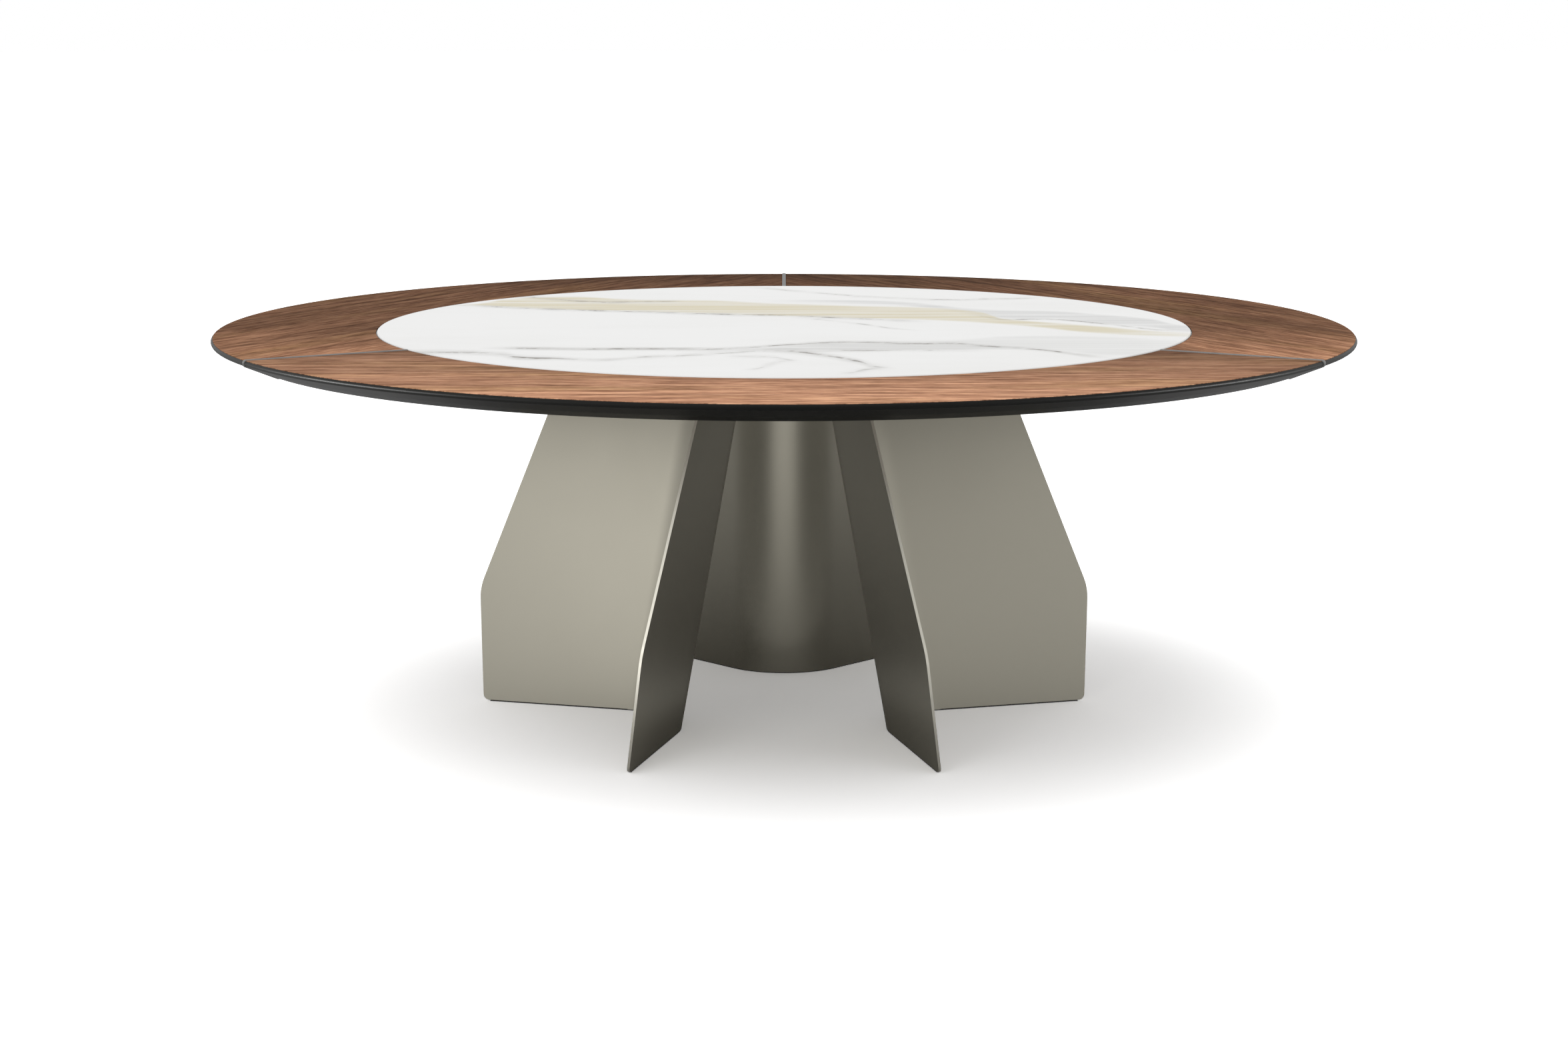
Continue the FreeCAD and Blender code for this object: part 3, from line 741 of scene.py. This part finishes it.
rim_black = coated_finish("rim_lacquer", (0.006, 0.006, 0.0055), 0.38, 0.05, 4.0, 0.25, 0.03)
powder_black = coated_finish("black_powder_coat", (0.022, 0.022, 0.022), 0.55, 0.35, 14.0, 0.30, 0.35)
stained_board = coated_finish("stained_board", (0.16, 0.125, 0.10), 0.6, 0.25, 5.0, 0.30, 0.10)
soft_seal = coated_finish("edge_seal", (0.20, 0.19, 0.175), 0.6, 0.3, 9.0, 0.15, 0.10)
clear_pad = coated_finish("clear_pad", (0.62, 0.62, 0.61), 0.35, 0.4, 20.0, 0.10, 0.05)
glide_black = coated_finish("glide_black", (0.018, 0.018, 0.018), 0.6, 0.3, 30.0, 0.20, 0.10)
strip_steel = metal_finish("satin_strip", (0.32, 0.32, 0.315), 0.46, 0.05, 0.10, 1500.0, edge=0.35)
zinc = metal_finish("zinc_plate", (0.56, 0.56, 0.54), 0.32, 0.12, 0.05, 900.0, scale=90.0)

glass, _, surface, _ = new_finish("backing_glass", roughness=0.05)
surface.inputs["Base Color"].default_value = glass_tint
surface.inputs["Transmission Weight"].default_value = 1.0
surface.inputs["IOR"].default_value = glass_index

node_finishes = {
    "glass_backing": glass, "disc_edge_seal": soft_seal, "core_panel": stained_board,
    "alignment_dowels": stained_board, "cushion_pads": clear_pad, "floor_glides": glide_black,
    "threaded_inserts": zinc,
}
for node, finish in node_finishes.items():
    dress(node, finish)
print("solids with a plain finish:", len(node_finishes))

# %% [markdown]
# ## Rounded edges on sheet, bar and board
# A cut edge is never perfectly sharp: it is eased by a fraction of a millimetre, and that thin line
# catches the light. The solids have sharp edges, so each of these pieces is copied, its loose triangles
# are merged, and a Bevel modifier eases the edges. Weighted normals keep the large faces flat and the
# folds smooth. On the sheets the modifier stops early, where its edges would cross, so there the cut edge
# itself gets the lighter finish, partly thin lacquer and partly a painted highlight. Its faces are known
# by their small area. The copy stands for the solid, which stays where it is for collision.

# %% Ease the edges
weld_distance = 0.00001
flat_limit = math.radians(0.2)
edge_limit = math.radians(28.0)
ease_steps = 2
cut_edge_area = 0.004
frame_ease, sheet_ease, strip_ease, board_ease = 0.0006, 0.0008, 0.0004, 0.0003
segments = ("front", "rear_left", "rear_right")
joints = ("rear", "front_left", "front_right")


def merged(node):
    work = bmesh.new()
    work.from_mesh(solids[node].data)
    bmesh.ops.remove_doubles(work, verts=work.verts, dist=weld_distance)
    return work


def settle(piece):
    # What the modifiers make becomes the mesh of the piece, and the modifiers go
    bpy.context.view_layer.update()
    evaluated = piece.evaluated_get(bpy.context.evaluated_depsgraph_get())
    done = bpy.data.meshes.new_from_object(evaluated)
    piece.modifiers.clear()
    piece.data = done
    return done


def eased(node, width, finish, edge_lacquer_and_highlight_finish=None):
    work = merged(node)
    bmesh.ops.dissolve_limit(work, angle_limit=flat_limit, verts=work.verts, edges=work.edges)
    mesh = bpy.data.meshes.new("eased_" + node)
    work.to_mesh(mesh)
    work.free()
    mesh.shade_smooth()
    piece = place_object("eased_" + node, mesh)
    ease = piece.modifiers.new("ease", "BEVEL")
    ease.width = width
    ease.segments = ease_steps
    ease.limit_method = "ANGLE"
    ease.angle_limit = edge_limit
    piece.modifiers.new("flat", "WEIGHTED_NORMAL").keep_sharp = True
    done = settle(piece)
    done.materials.clear()
    done.materials.append(finish)
    if edge_lacquer_and_highlight_finish:
        done.materials.append(edge_lacquer_and_highlight_finish)
        # Faces of small area are the cut edges, which get the lighter finish with its painted highlight
        for face in done.polygons:
            face.material_index = int(face.area < cut_edge_area)
    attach(piece, "root")
    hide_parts(node)
    eased_pieces.append(piece)


eased_pieces = []
eased("hub_plate", frame_ease, powder_black)
for part in joints:
    eased("blade_" + part, sheet_ease, titanium, edge_thin_lacquer_and_highlight)
    eased("blade_flange_" + part, frame_ease, titanium)
    eased("divider_strip_" + part, strip_ease, strip_steel)
    eased("support_bar_joint_" + part, frame_ease, powder_black)
for part in segments:
    eased("ring_board_" + part, board_ease, rim_black)
    eased("support_bar_" + part, frame_ease, powder_black)
print("eased pieces:", len(eased_pieces), "faces:", sum(len(p.data.polygons) for p in eased_pieces))

# %% [markdown]
# ## What the cards and the side lamps reach
# In a studio, flags keep a lamp off the pieces that it shouldn't touch. Light linking does the same. The
# card and the screen of the fold shine on the rear sheet alone, whose fold stands in the middle, the
# card of the fins on both front sheets, and the one on each side on the front sheet of that side. Two
# cards and two wide side lamps shine on the rim alone, where they draw the soft highlight on its
# shoulders.

# %% Link the cards and the side lamps
rim_lamp_size = (2.4, 1.0)
rim_lamp_target = Vector((0.0, -0.8, 0.74))
rim_lamps = {"left": (Vector((-4.0, -1.0, 0.75)), 420.0), "right": (Vector((4.0, -1.0, 0.75)), 300.0)}
rim_parts = ["ring_board_" + part for part in segments]


def shine_only_on(light, nodes):
    group = bpy.data.collections.new(light.name + "_reach")
    for piece in eased_pieces:
        if piece.name in ["eased_" + node for node in nodes]:
            group.objects.link(piece)
    light.light_linking.receiver_collection = group
    print(light.name, "shines on:", sorted(nodes))


card_reach = {
    "fold": ["blade_rear"], "screen": ["blade_rear"], "fins": ["blade_front_left", "blade_front_right"],
    "left": ["blade_front_left"], "right": ["blade_front_right"], "rim_left": rim_parts,
    "rim_right": rim_parts,
}
for name, nodes in card_reach.items():
    shine_only_on(cards[name], nodes)
for side, (place, energy) in rim_lamps.items():
    rim_lamp = area_lamp("rim_lamp_" + side, place, rim_lamp_target, rim_lamp_size, energy)
    shine_only_on(rim_lamp, rim_parts)

# %% [markdown]
# ## Trees that grow small parts
# Bolts, screws, washers and weld ripples repeat by the dozen, so Geometry Nodes make them: one shape is
# built from named sizes and set on every place, each turned a little differently, as a fitter leaves
# them. Here are the parts that all such trees share: named inputs, a random turn with a fixed seed, and
# the end of the tree, where the copies become one mesh with one finish.

# %% Helpers for Geometry Nodes
full_size = (1.0, 1.0, 1.0)


def new_growth(name, inputs):
    inputs = [*inputs, ("Finish", "Material", None)]
    tree, given, made = new_group(name, inputs, [("Geometry", "Geometry")], "GeometryNodeTree")
    tree.is_modifier = True
    return tree, given, made


def spin(tree, seed):
    inputs = {2: 0.0, 3: math.tau, 8: seed}
    turn = add(tree, "FunctionNodeRandomValue", inputs, data_type="FLOAT").outputs[1]
    return add(tree, "FunctionNodeEulerToRotation", {0: join(tree, z=turn)}).outputs[0]


def end_growth(tree, made, points, shape, rotation, scale, finish):
    copies = add(tree, "GeometryNodeInstanceOnPoints", {
        "Points": points, "Instance": shape, "Rotation": rotation, "Scale": scale}).outputs[0]
    solid = add(tree, "GeometryNodeRealizeInstances", {0: copies}).outputs[0]
    dressed = add(tree, "GeometryNodeSetMaterial", {"Geometry": solid, "Material": finish}).outputs[0]
    end_group(tree, made, Geometry=dressed)


def grow(name, tree, corners, edges, values, replaced=None):
    mesh = bpy.data.meshes.new(name)
    mesh.from_pydata(corners, edges, [])
    piece = place_object(name, mesh)
    nodes = piece.modifiers.new("growth", "NODES")
    nodes.node_group = tree
    for item in tree.interface.items_tree:
        if item.in_out == "INPUT" and item.name in values:
            nodes[item.identifier] = values[item.name]
    done = settle(piece)
    done.shade_smooth()
    done.set_sharp_from_angle(angle=edge_limit)
    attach(piece, "root")
    if replaced:
        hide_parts(replaced)
    print(name, "places:", len(corners), "faces:", len(done.polygons))


def islands(node):
    # The middle in plan and the lowest height of each separate solid in a node
    work = merged(node)
    left, found = set(work.verts), []
    while left:
        reached = [left.pop()]
        for corner in reached:
            for edge in corner.link_edges:
                other = edge.other_vert(corner)
                if other in left:
                    left.remove(other)
                    reached.append(other)
        spots = [corner.co for corner in reached]
        middle = [(min(s[axis] for s in spots) + max(s[axis] for s in spots)) / 2 for axis in (0, 1)]
        found.append((*middle, min(s.z for s in spots)))
    work.free()
    return sorted(found)


print("growth helpers ready")

# %% [markdown]
# ## The tree of a fastener
# Under the top, hexagon bolts hold the sheets, button heads with a hexagon socket hold the core panel, and
# pan heads with a cross slot hold the bars and boards. All have a head, a crown that is pulled in, and a
# shank, so one function builds the tree for each drive: a cylinder whose end faces are extruded and
# scaled, and a Boolean that sinks the drive into the head. Fixed models wouldn't follow a new size.

# %% Geometry Nodes: the tree of a fastener
hexagon_corner = 1.0 / math.cos(math.radians(30.0))
slot_reach_share = 1.4


def pulled(tree, shape, face, length, share):
    # Extrudes one end face of a shape and scales what was extruded
    pull = add(tree, "GeometryNodeExtrudeMesh", {"Mesh": shape, "Selection": face, "Offset Scale": length})
    end = pull.outputs["Top"]
    scaled = add(tree, "GeometryNodeScaleElements", {
        "Geometry": pull.outputs["Mesh"], "Selection": end, "Scale": share}).outputs[0]
    return scaled, end


def moved(tree, shape, height):
    inputs = {"Geometry": shape, "Offset": join(tree, z=height)}
    return add(tree, "GeometryNodeSetPosition", inputs).outputs[0]


def cut(tree, shape, cutter):
    inputs = {"Mesh 1": shape, "Mesh 2": cutter}
    return add(tree, "GeometryNodeMeshBoolean", inputs, operation="DIFFERENCE").outputs[0]


def cylinder(tree, sides, radius, depth):
    inputs = {"Vertices": sides, "Radius": radius, "Depth": depth}
    return add(tree, "GeometryNodeMeshCylinder", inputs).outputs


def fastener_tree(drive):
    tree, given, made = new_growth("Fastener " + drive, [
        ("Places", "Geometry", None), ("Sides", "Int", 24), ("Head Radius", "Float", 0.007),
        ("Head Height", "Float", 0.004), ("Crown Height", "Float", 0.001), ("Crown Share", "Float", 0.8),
        ("Shank Radius", "Float", 0.004), ("Shank Length", "Float", 0.02), ("Drive Width", "Float", 0.005),
        ("Drive Depth", "Float", 0.002), ("Seed", "Int", 0)])
    body = minus(tree, given["Head Height"], given["Crown Height"])
    blank = cylinder(tree, given["Sides"], given["Head Radius"], body)
    shape = moved(tree, blank["Mesh"], times(tree, body, -0.5))
    shape, _ = pulled(tree, shape, blank["Bottom"], given["Crown Height"], given["Crown Share"])
    slim = calc(tree, "DIVIDE", given["Shank Radius"], given["Head Radius"])
    shape, neck = pulled(tree, shape, blank["Top"], 0.0, slim)
    shape = add(tree, "GeometryNodeExtrudeMesh", {
        "Mesh": shape, "Selection": neck, "Offset Scale": given["Shank Length"]}).outputs["Mesh"]
    deep = times(tree, given["Drive Depth"], 2.0)
    cutters = []
    if drive == "hexagon":
        radius = times(tree, given["Drive Width"], 0.5 * hexagon_corner)
        cutters.append(cylinder(tree, 6, radius, deep)[0])
    if drive == "cross":
        reach = times(tree, given["Head Radius"], slot_reach_share)
        for x, y in ((reach, given["Drive Width"]), (given["Drive Width"], reach)):
            cutters.append(add(tree, "GeometryNodeMeshCube", {"Size": join(tree, x, y, deep)}).outputs[0])
    for cutter in cutters:
        shape = cut(tree, shape, moved(tree, cutter, times(tree, given["Head Height"], -1.0)))
    end_growth(tree, made, given["Places"], shape, spin(tree, given["Seed"]), full_size, given["Finish"])
    return tree


drive_trees = {drive: fastener_tree(drive) for drive in ("plain", "hexagon", "cross")}

# %% [markdown]
# ## Bolts and screws
# Each fastener grows where its solid is, and replaces it. A list of places would do, but a bolt that moves
# in the construction model would leave its copy behind, so place and length are read from the solid.

# %% Grow the bolts and screws
size_names = ("Sides", "Head Radius", "Head Height", "Crown Height", "Crown Share", "Shank Radius",
              "Drive Width", "Drive Depth")
fasteners = [
    # node, drive, and its sizes in the order of their names
    ("blade_bolts", "plain", 6, 0.008 * hexagon_corner, 0.0064, 0.0010, 0.86, 0.0050, 0.0, 0.0),
    ("hub_screws", "hexagon", 24, 0.0070, 0.0044, 0.0020, 0.66, 0.0040, 0.0050, 0.0025),
    ("bar_screws", "cross", 20, 0.0050, 0.0035, 0.0012, 0.74, 0.0025, 0.0012, 0.0018),
    ("ring_screws", "cross", 20, 0.0050, 0.0035, 0.0012, 0.74, 0.0025, 0.0012, 0.0018),
]
for seed, (node, drive, *sizes) in enumerate(fasteners):
    values = dict(zip(size_names, sizes))
    seats = [(x, y, z + values["Head Height"]) for x, y, z in islands(node)]
    top = max(corner.co.z for corner in solids[node].data.vertices)
    values |= {"Shank Length": top - seats[0][2], "Seed": seed, "Finish": zinc}
    grow("grown_" + node, drive_trees[drive], seats, [], values, node)

# %% [markdown]
# ## Washers
# A washer is a punched disc, a little rounded on the side that the punch came from. It is a cylinder with
# its lower face pulled in, minus a smaller cylinder, and it sits under the head of every hexagon bolt.

# %% Geometry Nodes: washers
washer_sides, hole_sides = 32, 24
lower_face_share = 0.95
punch_length = 0.02
washer_seed = 9
tree, given, made = new_growth("Washer", [
    ("Places", "Geometry", None), ("Outer Radius", "Float", 0.010), ("Hole Radius", "Float", 0.0053),
    ("Thickness", "Float", 0.002), ("Rounding", "Float", 0.0004), ("Seed", "Int", 0)])
body = minus(tree, given["Thickness"], given["Rounding"])
blank = cylinder(tree, washer_sides, given["Outer Radius"], body)
shape = moved(tree, blank["Mesh"], calc(tree, "ADD", times(tree, body, 0.5), given["Rounding"]))
shape, _ = pulled(tree, shape, blank["Bottom"], given["Rounding"], lower_face_share)
shape = cut(tree, shape, cylinder(tree, hole_sides, given["Hole Radius"], punch_length)[0])
end_growth(tree, made, given["Places"], shape, spin(tree, given["Seed"]), full_size, given["Finish"])
values = {"Seed": washer_seed, "Finish": zinc}
grow("grown_blade_washers", tree, islands("blade_washers"), [], values, "blade_washers")

# %% [markdown]
# ## Weld seams
# The flange inside each sheet is welded to it, and a weld has ripples, one for every drop of metal. The
# seam follows the inside of the sheet: along one arm, round the fold and along the other arm. The path is a
# line of points, a tree walks along it in even steps, and each step sets a flattened ball across the line.

# %% Geometry Nodes: weld seams
seam_height = 0.7055
seam_fold_radius, seam_fold_middle = 0.1448, 0.2563
seam_reach = 0.150
fold_steps = 24
fold_start, fold_turn = 135.0, 90.0
sheet_angles = (90.0, 210.0, 330.0)

tree, given, made = new_growth("Weld Seam", [
    ("Path", "Geometry", None), ("Step", "Float", 0.0035), ("Radius", "Float", 0.0034),
    ("Flatness", "Float", 0.6)])
path = add(tree, "GeometryNodeMeshToCurve", {"Mesh": given["Path"]}).outputs[0]
walk = add(tree, "GeometryNodeCurveToPoints", {"Curve": path, "Length": given["Step"]}, mode="LENGTH").outputs
drop = add(tree, "GeometryNodeMeshIcoSphere", {"Radius": given["Radius"], "Subdivisions": 2}).outputs[0]
flat = join(tree, 1.0, 1.0, given["Flatness"])
end_growth(tree, made, walk["Points"], drop, walk["Rotation"], flat, given["Finish"])

plan = []
for step in range(fold_steps + 1):
    angle = math.radians(fold_start + fold_turn * step / fold_steps)
    plan.append((seam_fold_middle + seam_fold_radius * math.cos(angle), seam_fold_radius * math.sin(angle)))
run = seam_reach * math.cos(math.radians(fold_turn / 2))
plan = [(plan[0][0] + run, plan[0][1] + run), *plan, (plan[-1][0] + run, plan[-1][1] - run)]
corners, edges = [], []
for angle in sheet_angles:
    turn_cos, turn_sin = math.cos(math.radians(angle)), math.sin(math.radians(angle))
    edges += [(len(corners) + step, len(corners) + step + 1) for step in range(len(plan) - 1)]
    corners += [(u * turn_cos - v * turn_sin, u * turn_sin + v * turn_cos, seam_height) for u, v in plan]
grow("weld_seams", tree, corners, edges, {"Finish": titanium})
